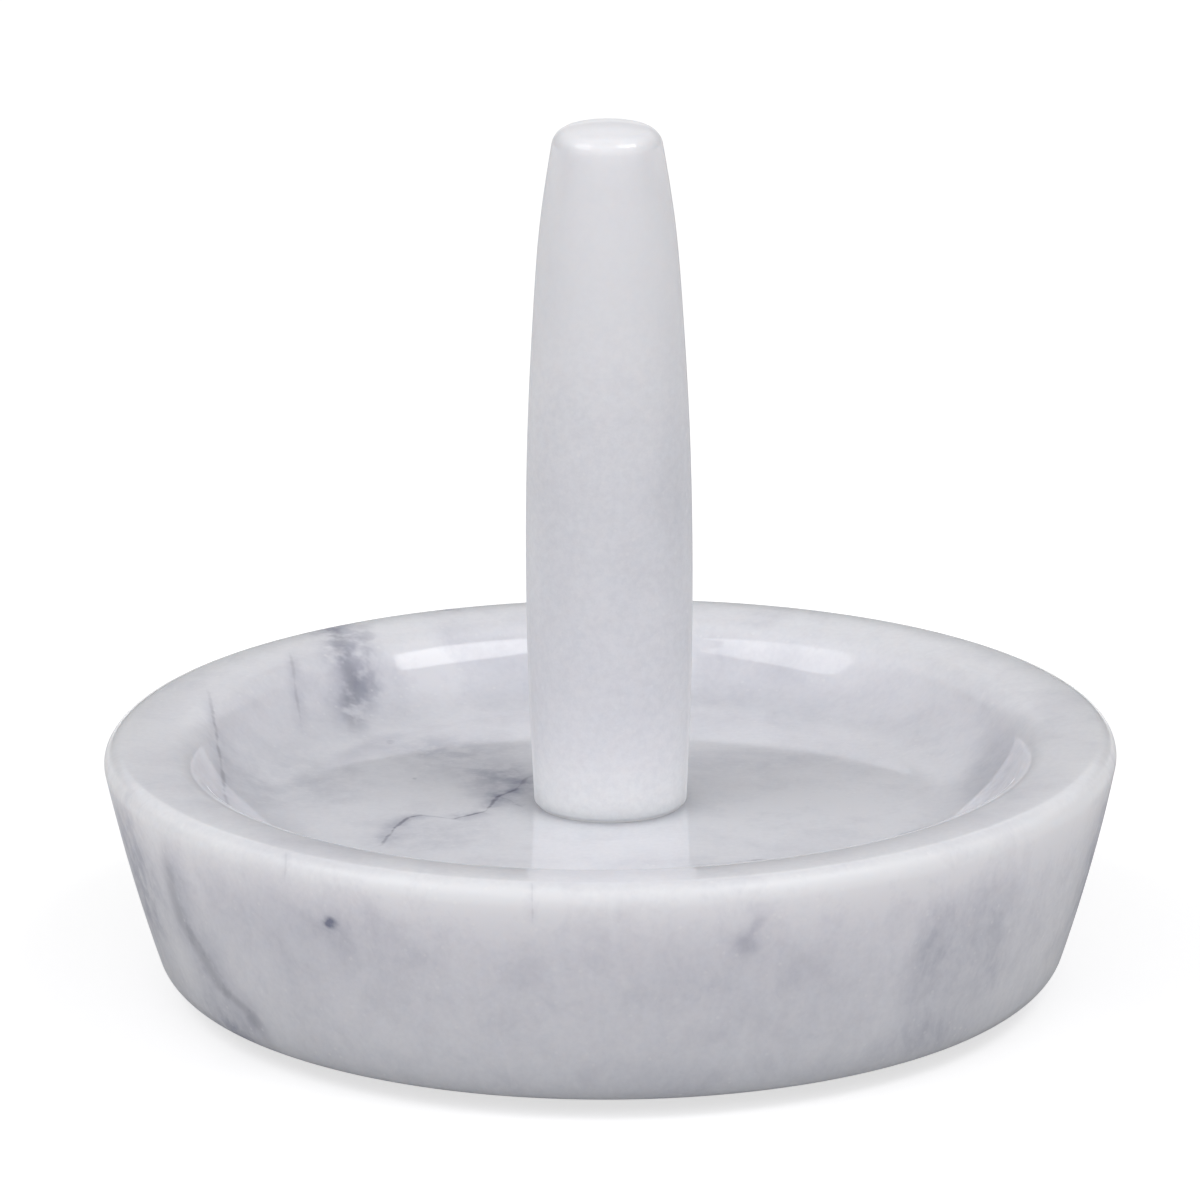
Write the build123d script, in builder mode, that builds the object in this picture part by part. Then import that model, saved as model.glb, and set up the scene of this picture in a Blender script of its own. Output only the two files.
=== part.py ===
from build123d import *
from math import cos, radians, sin, tan
import os

# Ring dish: a thick, shallow marble dish with a tapered marble post bonded into the middle of its bowl.
# Rings drop over the post, and small things lie in the bowl round its foot.
# Lengths are in millimetres and angles in degrees. +Z is up, and the origin is the middle of the plane
# that the dish stands on, under its pads.

# Dish, outside. The wall flares upwards, and leans a little less at the rim than at the base.
dish_diameter = 101.6
dish_height = 24.1
wall_lean_low = 18.1
wall_lean_high = 11.6
base_round = 3.7
rim_round = 1.9

# Bowl. A flat floor runs by a cove up to the steepest slope, where the mouth rounds over into the rim. The
# rim's top is slightly crowned: it leaves its highest line level and has fallen a little where it meets
# the mouth's rounding.
bowl_depth = 7.0
bowl_slope = 54.5
rim_width = 6.6
rim_fall = 8.0
mouth_round = 4.3

# Post. Its radius swells from the foot to the belly and tapers to a low dome with a round shoulder.
post_length = 69.8
post_foot_diameter = 15.3
post_belly_diameter = 16.65
post_crown_diameter = 10.6
crown_rise = 0.8
crown_round = 2.1
foot_round = 0.3
# Each pair is a height as a share of the post's length and a radius as a share of the belly's.
post_outline_shares = [(0.170, 0.978), (0.330, 1.0), (0.568, 0.966), (0.739, 0.888), (0.852, 0.810)]

# Pin and adhesive. The pin stands on the bottom of the hole in the dish, and ends short of the post's.
pin_diameter = 5.0
pin_chamfer = 0.4
pin_end_gap = 1.0
pin_depth_in_dish = 10.0
pin_depth_in_post = 14.0
glue_gap = 0.25
glue_film = 0.2

# Pads under the dish
pad_diameter = 10.0
pad_thickness = 1.5
pad_edge_round = 0.3
pad_circle_diameter = 66.0
pad_count = 4
pad_first_angle = 45.0

# Levels, from the table up
dish_base = pad_thickness
dish_top = dish_base + dish_height
bowl_floor = dish_top - bowl_depth
post_foot = bowl_floor + glue_film
post_top = post_foot + post_length
pin_bottom = bowl_floor - pin_depth_in_dish
pin_top = post_foot + pin_depth_in_post

# Headings of the dish's outline: 0 runs outwards and 90 straight up
low_heading = radians(90 - wall_lean_low)
high_heading = radians(90 - wall_lean_high)
rim_heading = radians(rim_fall)
bowl_heading = radians(bowl_slope)

# Outline of the dish: every stretch is a tangent arc, so no edge shows on the polished stone
dish_radius = dish_diameter / 2
rim_centre = dish_radius - rim_round
wall_high = (rim_centre + rim_round * sin(high_heading), dish_top - rim_round * (1 + cos(high_heading)))
wall_low_height = dish_base + base_round * (1 - cos(low_heading))
wall_run = (wall_high[1] - wall_low_height) / tan((low_heading + high_heading) / 2)
wall_low = (wall_high[0] - wall_run, wall_low_height)
base_edge = (wall_low[0] - base_round * sin(low_heading), dish_base)

rim_crown_radius = (rim_width - rim_round) / sin(rim_heading)
mouth_edge = (dish_radius - rim_width, dish_top - rim_crown_radius * (1 - cos(rim_heading)))
bowl_steepest = (
    mouth_edge[0] - mouth_round * (sin(bowl_heading) - sin(rim_heading)),
    mouth_edge[1] - mouth_round * (cos(rim_heading) - cos(bowl_heading)),
)
cove_radius = (bowl_steepest[1] - bowl_floor) / (1 - cos(bowl_heading))
floor_edge = (bowl_steepest[0] - cove_radius * sin(bowl_heading), bowl_floor)

# The hole for the pin is the same size in the dish and in the post
hole_radius = pin_diameter / 2 + glue_gap

with BuildPart() as dish:
    with BuildSketch(Plane.XZ):
        with BuildLine():
            Line((0, dish_base), base_edge)
            TangentArc(base_edge, wall_low, tangent=(1, 0))
            TangentArc(wall_low, wall_high, tangent=(cos(low_heading), sin(low_heading)))
            TangentArc(wall_high, (rim_centre, dish_top), tangent=(cos(high_heading), sin(high_heading)))
            TangentArc((rim_centre, dish_top), mouth_edge, tangent=(-1, 0))
            TangentArc(mouth_edge, bowl_steepest, tangent=(-cos(rim_heading), -sin(rim_heading)))
            TangentArc(bowl_steepest, floor_edge, tangent=(-cos(bowl_heading), -sin(bowl_heading)))
            Line(floor_edge, (0, bowl_floor))
            Line((0, bowl_floor), (0, dish_base))
        make_face()
    revolve(axis=Axis.Z)
    with Locations((0, 0, bowl_floor)):
        Hole(hole_radius, depth=pin_depth_in_dish)
dish.part.label = "dish"

# Outline of the post, from the edge of its foot to the edge of its dome
belly_radius = post_belly_diameter / 2
crown_edge = (post_crown_diameter / 2, post_top - crown_rise)
post_side = [(post_foot_diameter / 2, post_foot)]
for height_share, radius_share in post_outline_shares:
    post_side.append((belly_radius * radius_share, post_foot + post_length * height_share))
post_side.append(crown_edge)

with BuildPart() as post:
    with BuildSketch(Plane.XZ):
        with BuildLine():
            Line((0, post_foot), post_side[0])
            Spline(*post_side)
            TangentArc((0, post_top), crown_edge, tangent=(1, 0))
            Line((0, post_top), (0, post_foot))
        make_face()
    revolve(axis=Axis.Z)
    fillet(post.edges().filter_by(lambda edge: edge.is_closed).sort_by(Axis.Z)[0], foot_round)
    fillet(post.edges().filter_by(lambda edge: edge.is_closed).sort_by(Axis.Z)[-1], crown_round)
    with Locations(Plane(origin=(0, 0, post_foot), z_dir=(0, 0, -1))):
        Hole(hole_radius, depth=pin_depth_in_post + pin_end_gap)
post.part.label = "post"

# Steel pin, chamfered at both ends
with BuildPart() as dowel_pin:
    with BuildSketch(Plane.XY.offset(pin_bottom)):
        Circle(pin_diameter / 2)
    extrude(amount=pin_top - pin_bottom)
    chamfer(dowel_pin.edges().filter_by(GeomType.CIRCLE), pin_chamfer)
dowel_pin.part.label = "dowel_pin"

# Adhesive: a film under the flat of the post's foot, and a sleeve round the pin in both holes
film_radius = post_foot_diameter / 2 - foot_round
sleeve_top = pin_top - pin_chamfer

with BuildPart() as bond_layer:
    with BuildSketch(Plane.XY.offset(pin_bottom)):
        Circle(hole_radius)
    extrude(amount=sleeve_top - pin_bottom)
    with BuildSketch(Plane.XY.offset(bowl_floor)):
        Circle(film_radius)
    extrude(amount=glue_film)
    with Locations((0, 0, sleeve_top)):
        Hole(pin_diameter / 2)
bond_layer.part.label = "bond_layer"

# Pads, evenly spaced on one circle, with the edge that meets the table rounded
solids = [dish, post, dowel_pin, bond_layer]
for index in range(pad_count):
    turn = radians(pad_first_angle + 360 / pad_count * index)
    place = (pad_circle_diameter / 2 * cos(turn), pad_circle_diameter / 2 * sin(turn))
    with BuildPart() as foot_pad:
        with BuildSketch(Plane.XY):
            with Locations(place):
                Circle(pad_diameter / 2)
        extrude(amount=pad_thickness)
        fillet(foot_pad.edges().group_by(Axis.Z)[0], pad_edge_round)
    foot_pad.part.label = f"foot_pad_{index + 1}"
    solids.append(foot_pad)

os.makedirs("parts", exist_ok=True)
for solid in solids:
    export_step(solid.part, f"parts/{solid.part.label}.step")

print(f"overall height {post_top:.2f}, base flat radius {base_edge[0]:.2f}")
print(f"cove radius {cove_radius:.2f}, floor radius {floor_edge[0]:.2f}")
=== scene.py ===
import math
from collections import namedtuple
from functools import partial, reduce

import bpy
import numpy as np
from bpy.props import FloatProperty, FloatVectorProperty, IntProperty, PointerProperty
from bpy.types import Operator, Panel, PropertyGroup
from mathutils import Matrix, Vector


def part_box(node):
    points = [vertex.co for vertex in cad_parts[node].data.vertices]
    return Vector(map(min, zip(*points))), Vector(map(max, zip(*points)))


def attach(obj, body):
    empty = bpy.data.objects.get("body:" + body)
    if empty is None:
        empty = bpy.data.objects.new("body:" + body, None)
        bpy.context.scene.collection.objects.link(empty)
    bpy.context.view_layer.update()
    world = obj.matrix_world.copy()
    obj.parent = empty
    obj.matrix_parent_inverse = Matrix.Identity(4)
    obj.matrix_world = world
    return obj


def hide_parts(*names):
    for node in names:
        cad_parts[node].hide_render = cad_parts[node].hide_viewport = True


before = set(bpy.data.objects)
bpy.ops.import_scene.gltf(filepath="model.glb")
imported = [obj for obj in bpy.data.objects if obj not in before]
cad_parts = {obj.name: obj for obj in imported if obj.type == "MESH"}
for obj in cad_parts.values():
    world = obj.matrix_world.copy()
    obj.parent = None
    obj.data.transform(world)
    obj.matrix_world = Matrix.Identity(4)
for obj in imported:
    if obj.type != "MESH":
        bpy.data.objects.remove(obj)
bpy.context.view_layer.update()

# A polished marble ring dish: the dish and the post are worked out here as turned surfaces, and the
# pin, the adhesive and the pads keep the frame's solids. Lengths are in metres, and +Z is up.

bl_info = {
    "name": "Ring dish",
    "version": (1, 0, 0),
    "blender": (4, 5, 0),
    "location": "3D View > Sidebar > Ring dish",
    "description": "Turns and finishes a marble ring dish and sets it on a plain studio floor",
    "category": "Add Mesh",
}

MM = 0.001
BODY = "root"

# Places and sizes that come from the frame
dish_low, dish_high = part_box("dish")
post_low, post_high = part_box("post")
pin_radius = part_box("dowel_pin")[1].x
hole_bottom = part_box("bond_layer")[0].z
PAD_NODES = [name for name in sorted(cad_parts) if name.startswith("foot_pad")]

# The pin's hole is as wide as the adhesive's sleeve round the pin
GLUE_GAP = 0.25 * MM
HOLE_RADIUS = pin_radius + GLUE_GAP

# How much higher the rim of the hand-finished dish stands at its right than in the middle
RIM_LEAN = 0.26 * MM

# An edge between faces that turn by more than this stays crisp
CRISP_EDGE = math.radians(40)

# How far the red, green and blue of the light reach inside the stone, beside its glow depth
GLOW_REACH = (1.1, 1, 0.95)
STONE_IOR = 1.5

# Shades of the stones that follow from their ground colours, with the post's grey also used for painted
# shade and the paler colour at its foot being painted light, and the mirroring of glass
PAINTED_FOOT_LIGHT = (0.92, 0.92, 0.94)
MOTTLE_AND_PAINTED_SHADE_COLOUR = (0.50, 0.51, 0.57)
CRYSTAL_COLOUR = (0.88, 0.88, 0.90)
GLASS_GLOSS = 0.5

# The photographed view: how far off the camera is, how steeply it looks down, its roll, its place to the
# side, the height that it aims at, and its lens in millimetres
CAMERA_DISTANCE = 1.0
CAMERA_ELEVATION = math.radians(16)
CAMERA_ROLL = math.radians(-0.3)
CAMERA_SIDE = -0.95 * MM
CAMERA_AIM = 39.65 * MM
CAMERA_LENS = 299.95

# What settings of one kind share
LENGTH = dict(min=0.1 * MM, max=0.2, subtype="DISTANCE", unit="LENGTH", precision=6)
SMALL_LENGTH = dict(min=0, max=2 * MM, subtype="DISTANCE", unit="LENGTH", precision=6)
ANGLE = dict(min=0.01, max=math.radians(89), subtype="ANGLE", unit="ROTATION")
SHARE = dict(min=0, max=1, subtype="FACTOR")
COLOUR = dict(size=3, min=0, max=1, subtype="COLOR")


class DishSizes(PropertyGroup):
    """Sizes of the dish"""

    diameter: FloatProperty(
        name="Diameter", description="Widest diameter, at the rim", default=2 * dish_high.x, **LENGTH,
    )
    wall_lean_low: FloatProperty(
        name="Lean at the base", description="Lean of the outer wall from upright, just above the base",
        default=math.radians(18.1), **ANGLE,
    )
    wall_lean_high: FloatProperty(
        name="Lean at the rim", description="Lean of the outer wall from upright, just under the rim",
        default=math.radians(11.6), **ANGLE,
    )
    base_round: FloatProperty(
        name="Base rounding", description="Radius where the outer wall meets the underside",
        default=3.7 * MM, **LENGTH,
    )
    rim_round: FloatProperty(
        name="Rim rounding", description="Radius of the rim's outer edge", default=1.9 * MM, **LENGTH,
    )
    bowl_depth: FloatProperty(
        name="Bowl depth", description="Depth of the flat floor under the rim", default=7.0 * MM, **LENGTH,
    )
    bowl_slope: FloatProperty(
        name="Bowl slope", description="Steepest slope of the bowl's side",
        default=math.radians(54.5), **ANGLE,
    )
    rim_width: FloatProperty(
        name="Rim width", description="From the outside to where the rim rounds over into the bowl",
        default=6.6 * MM, **LENGTH,
    )
    rim_fall: FloatProperty(
        name="Rim's fall", description="Slope of the rim's crowned top at its inner edge",
        default=math.radians(8), **ANGLE,
    )
    mouth_round: FloatProperty(
        name="Mouth rounding", description="Radius where the rim's top rounds over into the bowl",
        default=4.3 * MM, **LENGTH,
    )
    rim_lean: FloatProperty(
        name="Rim's lean", description="How much higher the rim stands at its right than in the middle",
        default=RIM_LEAN, **SMALL_LENGTH,
    )
    ripple: FloatProperty(
        name="Polishing ripple", description="Height of the slow unevenness that hand polishing leaves",
        default=0.006 * MM, **SMALL_LENGTH,
    )
    steps_round: IntProperty(
        name="Steps round", description="Faces round the axis", default=384, min=32, max=512,
    )


class PostSizes(PropertyGroup):
    """Sizes of the post"""

    foot_diameter: FloatProperty(
        name="Foot diameter", description="Diameter of the foot, before its edge is rounded",
        default=15.3 * MM, **LENGTH,
    )
    belly_diameter: FloatProperty(
        name="Belly diameter", description="Widest diameter", default=2 * post_high.x, **LENGTH,
    )
    crown_diameter: FloatProperty(
        name="Crown diameter", description="Diameter of the low dome on top, before its edge is rounded",
        default=10.6 * MM, **LENGTH,
    )
    crown_rise: FloatProperty(
        name="Crown rise", description="Height of the low dome on top", default=0.8 * MM, **LENGTH,
    )
    crown_round: FloatProperty(
        name="Crown rounding", description="Radius of the shoulder under the dome",
        default=2.1 * MM, **LENGTH,
    )
    foot_round: FloatProperty(
        name="Foot rounding", description="Radius of the foot's edge", default=0.3 * MM, **LENGTH,
    )
    hole_depth: FloatProperty(
        name="Hole depth", description="Depth of the blind hole for the pin", default=15.0 * MM, **LENGTH,
    )
    steps_round: IntProperty(
        name="Steps round", description="Faces round the axis", default=256, min=32, max=512,
    )


class StoneFinish(PropertyGroup):
    """Colours and polish of the pieces"""

    dish_colour: FloatVectorProperty(
        name="Dish stone", description="Ground colour of the dish's marble",
        default=(0.80, 0.802, 0.845), **COLOUR,
    )
    # This colour also paints the post's shadow on the floor, and the shade at the right silhouette and at
    # the bottom of the outer wall.
    cloud_colour: FloatVectorProperty(
        name="Clouds", description="Colour of the blue-grey clouds in the dish's marble",
        default=(0.27, 0.285, 0.38), **COLOUR,
    )
    vein_colour: FloatVectorProperty(
        name="Veins", description="Colour of the dish's veins where they are darkest",
        default=(0.12, 0.12, 0.17), **COLOUR,
    )
    post_colour: FloatVectorProperty(
        name="Post stone", description="Ground colour of the post's whiter, fine-grained marble",
        default=(0.855, 0.855, 0.89), **COLOUR,
    )
    steel_colour: FloatVectorProperty(
        name="Pin steel", description="Colour of the turned steel pin",
        default=(0.62, 0.62, 0.63), **COLOUR,
    )
    # Painted light: the adhesive is given a near-white colour so that the thin seam it fills shows less
    # dark.
    adhesive_colour: FloatVectorProperty(
        name="Adhesive", description="Colour of the cured adhesive", default=(0.84, 0.84, 0.84), **COLOUR,
    )
    rubber_colour: FloatVectorProperty(
        name="Pad rubber", description="Colour of the pads under the dish",
        default=(0.05, 0.05, 0.052), **COLOUR,
    )
    dish_polish: FloatProperty(
        name="Dish roughness", description="Roughness of the polished bowl and rim", default=0.06, **SHARE,
    )
    wall_polish: FloatProperty(
        name="Outer wall roughness", description="Roughness of the dish's outer wall and underside",
        default=0.26, **SHARE,
    )
    post_polish: FloatProperty(
        name="Post roughness", description="Roughness of the post's honed face", default=0.24, **SHARE,
    )
    wall_gloss: FloatProperty(
        name="Outer wall's gloss", description="Strength of the outer wall's mirroring, where 0.5 is glass",
        default=0.16, **SHARE,
    )
    post_gloss: FloatProperty(
        name="Post's gloss", description="Strength of the post's mirroring below its crown",
        default=0.22, **SHARE,
    )
    post_glow: FloatProperty(
        name="Post's glow depth", description="How far light spreads inside the post's denser stone",
        default=2.5 * MM, **LENGTH,
    )
    glow_depth: FloatProperty(
        name="Glow depth", description="How far light spreads inside the dish's stone",
        default=10.0 * MM, **LENGTH,
    )


class StudioSettings(PropertyGroup):
    """Floor and lamps"""

    right_lamp: FloatProperty(
        name="Right lamp", description="Brightness of the right soft box's face, where 1 is white",
        default=4.05, min=0, max=50,
    )
    left_lamp: FloatProperty(
        name="Left lamp", description="Brightness of the left soft box's face, where 1 is white",
        default=2.5, min=0, max=50,
    )
    room_level: FloatProperty(
        name="Room brightness", description="Scales the brightness of the whole room",
        default=1.0, min=0, max=3,
    )
    floor_colour: FloatVectorProperty(
        name="Floor", description="Colour of the floor", default=(0.50, 0.50, 0.505), **COLOUR,
    )
    floor_glow: FloatProperty(
        name="Floor whiteness", description="White added to the floor as the camera and reflections see it",
        default=0.66, **SHARE,
    )


# Outlines: each is an array of radius and height, run with the stone on its left, from axis to axis


def arc_points(start, heading_from, heading_to, radius, steps):
    """An arc from its start, between two headings, which are angles, 0 outwards and a quarter turn upwards.
    A point is the start plus radius times the change in sine and in minus cosine of the heading."""
    headings = np.linspace(heading_from, heading_to, steps + 1)[1:]
    turn = math.copysign(1, heading_to - heading_from)
    across = start[0] + turn * radius * (np.sin(headings) - np.sin(heading_from))
    up = start[1] - turn * radius * (np.cos(headings) - np.cos(heading_from))
    return np.column_stack([across, up])


def line_points(start, end, steps):
    """Points evenly spaced on a straight run, without its start."""
    share = np.linspace(0, 1, steps + 1)[1:, None]
    return np.asarray(start) + share * (np.asarray(end) - np.asarray(start))


def dish_outline(sizes):
    """Out along the underside, round the base's edge, up the wall's long arc, over the rim's crown and the
    mouth's rounding, down the cove, in along the floor and down the pin's hole. The leans, the roundings
    and the overall size fix every arc, as the headings match where they meet."""
    base = dish_low.z
    top = dish_high.z
    radius = sizes.diameter / 2
    low = math.pi / 2 - sizes.wall_lean_low
    high = math.pi / 2 - sizes.wall_lean_high
    rim_centre = radius - sizes.rim_round
    wall_end = np.array([
        rim_centre + sizes.rim_round * math.sin(high),
        top - sizes.rim_round * (1 + math.cos(high)),
    ])
    wall_low_height = base + sizes.base_round * (1 - math.cos(low))
    wall_run = (wall_end[1] - wall_low_height) / math.tan((low + high) / 2)
    wall_start = np.array([wall_end[0] - wall_run, wall_low_height])
    base_edge = np.array([wall_start[0] - sizes.base_round * math.sin(low), base])
    wall_radius = np.hypot(*(wall_end - wall_start)) / (2 * math.sin((high - low) / 2))
    fall = sizes.rim_fall
    slope = sizes.bowl_slope
    crown_radius = (sizes.rim_width - sizes.rim_round) / math.sin(fall)
    mouth_edge = np.array([radius - sizes.rim_width, top - crown_radius * (1 - math.cos(fall))])
    bend = np.array([math.sin(slope) - math.sin(fall), math.cos(fall) - math.cos(slope)])
    steepest = mouth_edge - sizes.mouth_round * bend
    cove_radius = (steepest[1] - (top - sizes.bowl_depth)) / (1 - math.cos(slope))
    floor_edge = steepest - cove_radius * np.array([math.sin(slope), 1 - math.cos(slope)])
    # Round the mouth the outline heads inwards, half a turn, and bends down to the slope and back
    return np.vstack([
        [[0, base]],
        line_points((0, base), base_edge, 8),
        arc_points(base_edge, 0, low, sizes.base_round, 20),
        arc_points(wall_start, low, high, wall_radius, 48),
        arc_points(wall_end, high, math.pi, sizes.rim_round, 26),
        arc_points((rim_centre, top), math.pi, math.pi + fall, crown_radius, 16),
        arc_points(mouth_edge, math.pi + fall, math.pi + slope, sizes.mouth_round, 28),
        arc_points(steepest, math.pi + slope, math.pi, cove_radius, 36),
        line_points(floor_edge, (HOLE_RADIUS, floor_edge[1]), 36),
        line_points((HOLE_RADIUS, floor_edge[1]), (HOLE_RADIUS, hole_bottom), 4),
        [[0, hole_bottom]],
    ])


# Places on the post's side, as shares of its length and of its belly's radius
POST_SIDE_SHARES = ((0.170, 0.978), (0.330, 1), (0.568, 0.966), (0.739, 0.888), (0.852, 0.810))

# Points at which the post's side is worked out, and how many of its faces follow them
SIDE_POINTS = 2000
SIDE_STEPS = 110


def smooth_through(places, values, wanted):
    """A natural cubic spline: a cubic between each two places, with slope and bend alike where they meet
    and no bend at the ends. One linear system gives all the bends."""
    gaps = np.diff(places)
    slopes = np.diff(values) / gaps
    system = np.diag(np.r_[1, 2 * (gaps[:-1] + gaps[1:]), 1])
    system += np.diag(np.r_[0, gaps[1:]], 1) + np.diag(np.r_[gaps[:-1], 0], -1)
    bends = np.linalg.solve(system, 6 * np.r_[0, np.diff(slopes), 0])
    part = np.clip(np.searchsorted(places, wanted, side="right") - 1, 0, len(gaps) - 1)
    gap = gaps[part]
    before = wanted - places[part]
    after = gap - before
    cubic = (bends[part] * after**3 + bends[part + 1] * before**3) / (6 * gap)
    left = (values[part] / gap - bends[part] * gap / 6) * after
    right = (values[part + 1] / gap - bends[part + 1] * gap / 6) * before
    return cubic + left + right


def heading_at(arm):
    """An arc's heading where the arm from its centre meets it: a quarter turn on from the arm."""
    return math.atan2(arm[1], arm[0]) + math.pi / 2


def post_outline(sizes):
    """Out along the top of the pin's hole, down the hole, out along the foot, round its edge, up the side,
    round the shoulder and in over the dome. The side is a smooth curve of radius over height. Each rounding
    is an arc whose centre is where the curves on its two sides, both moved in by its radius, cross."""
    foot = post_low.z
    top = post_high.z
    belly = sizes.belly_diameter / 2
    crown = np.array([sizes.crown_diameter / 2, top - sizes.crown_rise])
    shares = np.array(POST_SIDE_SHARES)
    places = np.r_[foot, foot + (top - foot) * shares[:, 0], crown[1]]
    radii = np.r_[sizes.foot_diameter / 2, belly * shares[:, 1], crown[0]]
    heights = np.linspace(foot, crown[1], SIDE_POINTS)
    side = np.column_stack([smooth_through(places, radii, heights), heights])
    number = np.arange(SIDE_POINTS)
    along = np.gradient(side, axis=0)
    along /= np.linalg.norm(along, axis=1)[:, None]
    inwards = np.column_stack([-along[:, 1], along[:, 0]])

    moved = side + sizes.foot_round * inwards
    height = foot + sizes.foot_round
    foot_step = np.interp(height, moved[:, 1], number)
    foot_centre = np.array([np.interp(foot_step, number, moved[:, 0]), height])

    dome_radius = (crown[0] ** 2 + sizes.crown_rise**2) / (2 * sizes.crown_rise)
    dome_centre = np.array([0, top - dome_radius])
    moved = side + sizes.crown_round * inwards
    reach = np.hypot(*(moved - dome_centre).T)
    near_top = np.flatnonzero(side[:, 1] > dome_centre[1])
    crown_step = np.interp(dome_radius - sizes.crown_round, reach[near_top], near_top)
    crown_centre = np.array([np.interp(crown_step, number, line) for line in moved.T])

    side_steps = np.linspace(foot_step, crown_step, SIDE_STEPS)
    run = np.column_stack([np.interp(side_steps, number, line) for line in side.T])
    foot_edge = (foot_centre[0], foot)
    foot_end = heading_at(run[0] - foot_centre)
    crown_start = heading_at(run[-1] - crown_centre)
    dome_start = heading_at(crown_centre - dome_centre)
    crown_arc = arc_points(run[-1], crown_start, dome_start, sizes.crown_round, 24)
    dome = arc_points(crown_arc[-1], dome_start, math.pi, dome_radius, 20)
    dome[-1] = (0, top)
    hole_top = foot + sizes.hole_depth
    return np.vstack([
        [[0, hole_top]],
        line_points((HOLE_RADIUS, hole_top), (HOLE_RADIUS, foot), 4),
        line_points((HOLE_RADIUS, foot), foot_edge, 5),
        arc_points(foot_edge, 0, foot_end, sizes.foot_round, 12)[:-1],
        run,
        crown_arc,
        dome,
    ])


def slow_ripple(outline, angles):
    """The unevenness that a polishing wheel leaves, from -1 to 1: three waves that each run a whole number
    of times round the axis and drift along the outline. It dies away towards the axis."""
    runs = np.r_[0, np.cumsum(np.hypot(*np.diff(outline, axis=0).T))] / MM
    along = runs[:, None]
    around = angles[None, :]
    waves = 0.5 * np.sin(5 * around + 0.11 * along)
    waves = waves + 0.3 * np.sin(11 * around - 0.23 * along + 1.3)
    waves = waves + 0.2 * np.sin(17 * around + 0.41 * along + 2.1)
    return waves * np.clip(outline[:, :1] / (12 * MM) - 0.6, 0, 1)


def turned_mesh(name, outline, steps_round, ripple=0.0, lean=0.0, lean_from=0.0):
    """A surface of revolution: the point at step i of the outline and angle t is radius times cosine t,
    radius times sine t, and height. Its first and last points are on the axis, and close it with fans.
    Each point is also moved along the outline's normal by the ripple. Above the height lean_from it is
    raised by the lean times its x over the widest radius, times its share of the height up to the top."""
    ring = outline[1:-1]
    angles = np.linspace(0, 2 * math.pi, steps_round, endpoint=False)
    along = np.gradient(ring, axis=0)
    along /= np.linalg.norm(along, axis=1)[:, None]
    moved = ripple * slow_ripple(outline, angles)[1:-1]
    radius = ring[:, :1] + moved * along[:, 1:]
    height = ring[:, 1:] - moved * along[:, :1]
    if lean:
        share = np.clip((height - lean_from) / (outline[:, 1].max() - lean_from), 0, 1)
        height = height + lean * share * radius * np.cos(angles) / outline[:, 0].max()
    grid = np.stack(np.broadcast_arrays(radius * np.cos(angles), radius * np.sin(angles), height), axis=-1)
    poles = np.array([[0, 0, outline[0, 1]], [0, 0, outline[-1, 1]]])
    points = np.vstack([grid.reshape(-1, 3), poles])

    rows = len(ring)
    number = np.arange(rows * steps_round).reshape(rows, steps_round)
    after = np.roll(number, -1, axis=1)
    quads = np.stack([number[:-1], after[:-1], after[1:], number[1:]], axis=-1).reshape(-1, 4)
    first = np.full(steps_round, rows * steps_round)
    low_fan = np.stack([first, after[0], number[0]], axis=-1)
    high_fan = np.stack([first + 1, number[-1], after[-1]], axis=-1)
    faces = quads.tolist() + low_fan.tolist() + high_fan.tolist()

    mesh = bpy.data.meshes.new(name)
    mesh.from_pydata(points, [], faces)
    mesh.update()
    mesh.polygons.foreach_set("use_smooth", np.ones(len(faces), dtype=bool))
    mesh.set_sharp_from_angle(angle=CRISP_EDGE)
    made = bpy.data.objects.new(name, mesh)
    bpy.context.scene.collection.objects.link(made)
    return made


# Nodes of the finishes. Places inside the stone are in millimetres, as the marble's features are.


def add_node(tree, kind, **settings):
    """A node of that kind with those settings."""
    made = tree.nodes.new(kind)
    for name, value in settings.items():
        setattr(made, name, value)
    return made


def feed(tree, socket, source):
    """Links a socket to another one, or gives it a number or a colour."""
    if isinstance(source, bpy.types.NodeSocket):
        tree.links.new(source, socket)
    else:
        socket.default_value = source


def maths(tree, operation, *sources, clamp=False):
    """One step of arithmetic on sockets and numbers."""
    made = add_node(tree, "ShaderNodeMath", operation=operation, use_clamp=clamp)
    for socket, source in zip(made.inputs, sources):
        feed(tree, socket, source)
    return made.outputs[0]


def vector_maths(tree, operation, *sources):
    """One step of arithmetic on places."""
    made = add_node(tree, "ShaderNodeVectorMath", operation=operation)
    for socket, source in zip(made.inputs, sources):
        feed(tree, socket, source)
    return made.outputs["Value" if operation in ("LENGTH", "DOT_PRODUCT") else "Vector"]


def scaled(tree, place, factor):
    """A place times a number."""
    made = add_node(tree, "ShaderNodeVectorMath", operation="SCALE")
    feed(tree, made.inputs[0], place)
    feed(tree, made.inputs["Scale"], factor)
    return made.outputs["Vector"]


def fade(tree, source, start, end, low=0.0, high=1.0):
    """A smooth step from low to high as the source goes from start to end."""
    made = add_node(tree, "ShaderNodeMapRange", interpolation_type="SMOOTHSTEP")
    for socket, value in zip(made.inputs, (source, start, end, low, high)):
        feed(tree, socket, value)
    return made.outputs["Result"]


def mixed(tree, share, first, second):
    """A number between two others."""
    made = add_node(tree, "ShaderNodeMix", data_type="FLOAT")
    for socket, source in zip(made.inputs[:1] + made.inputs[2:4], (share, first, second)):
        feed(tree, socket, source)
    return made.outputs[0]


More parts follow.
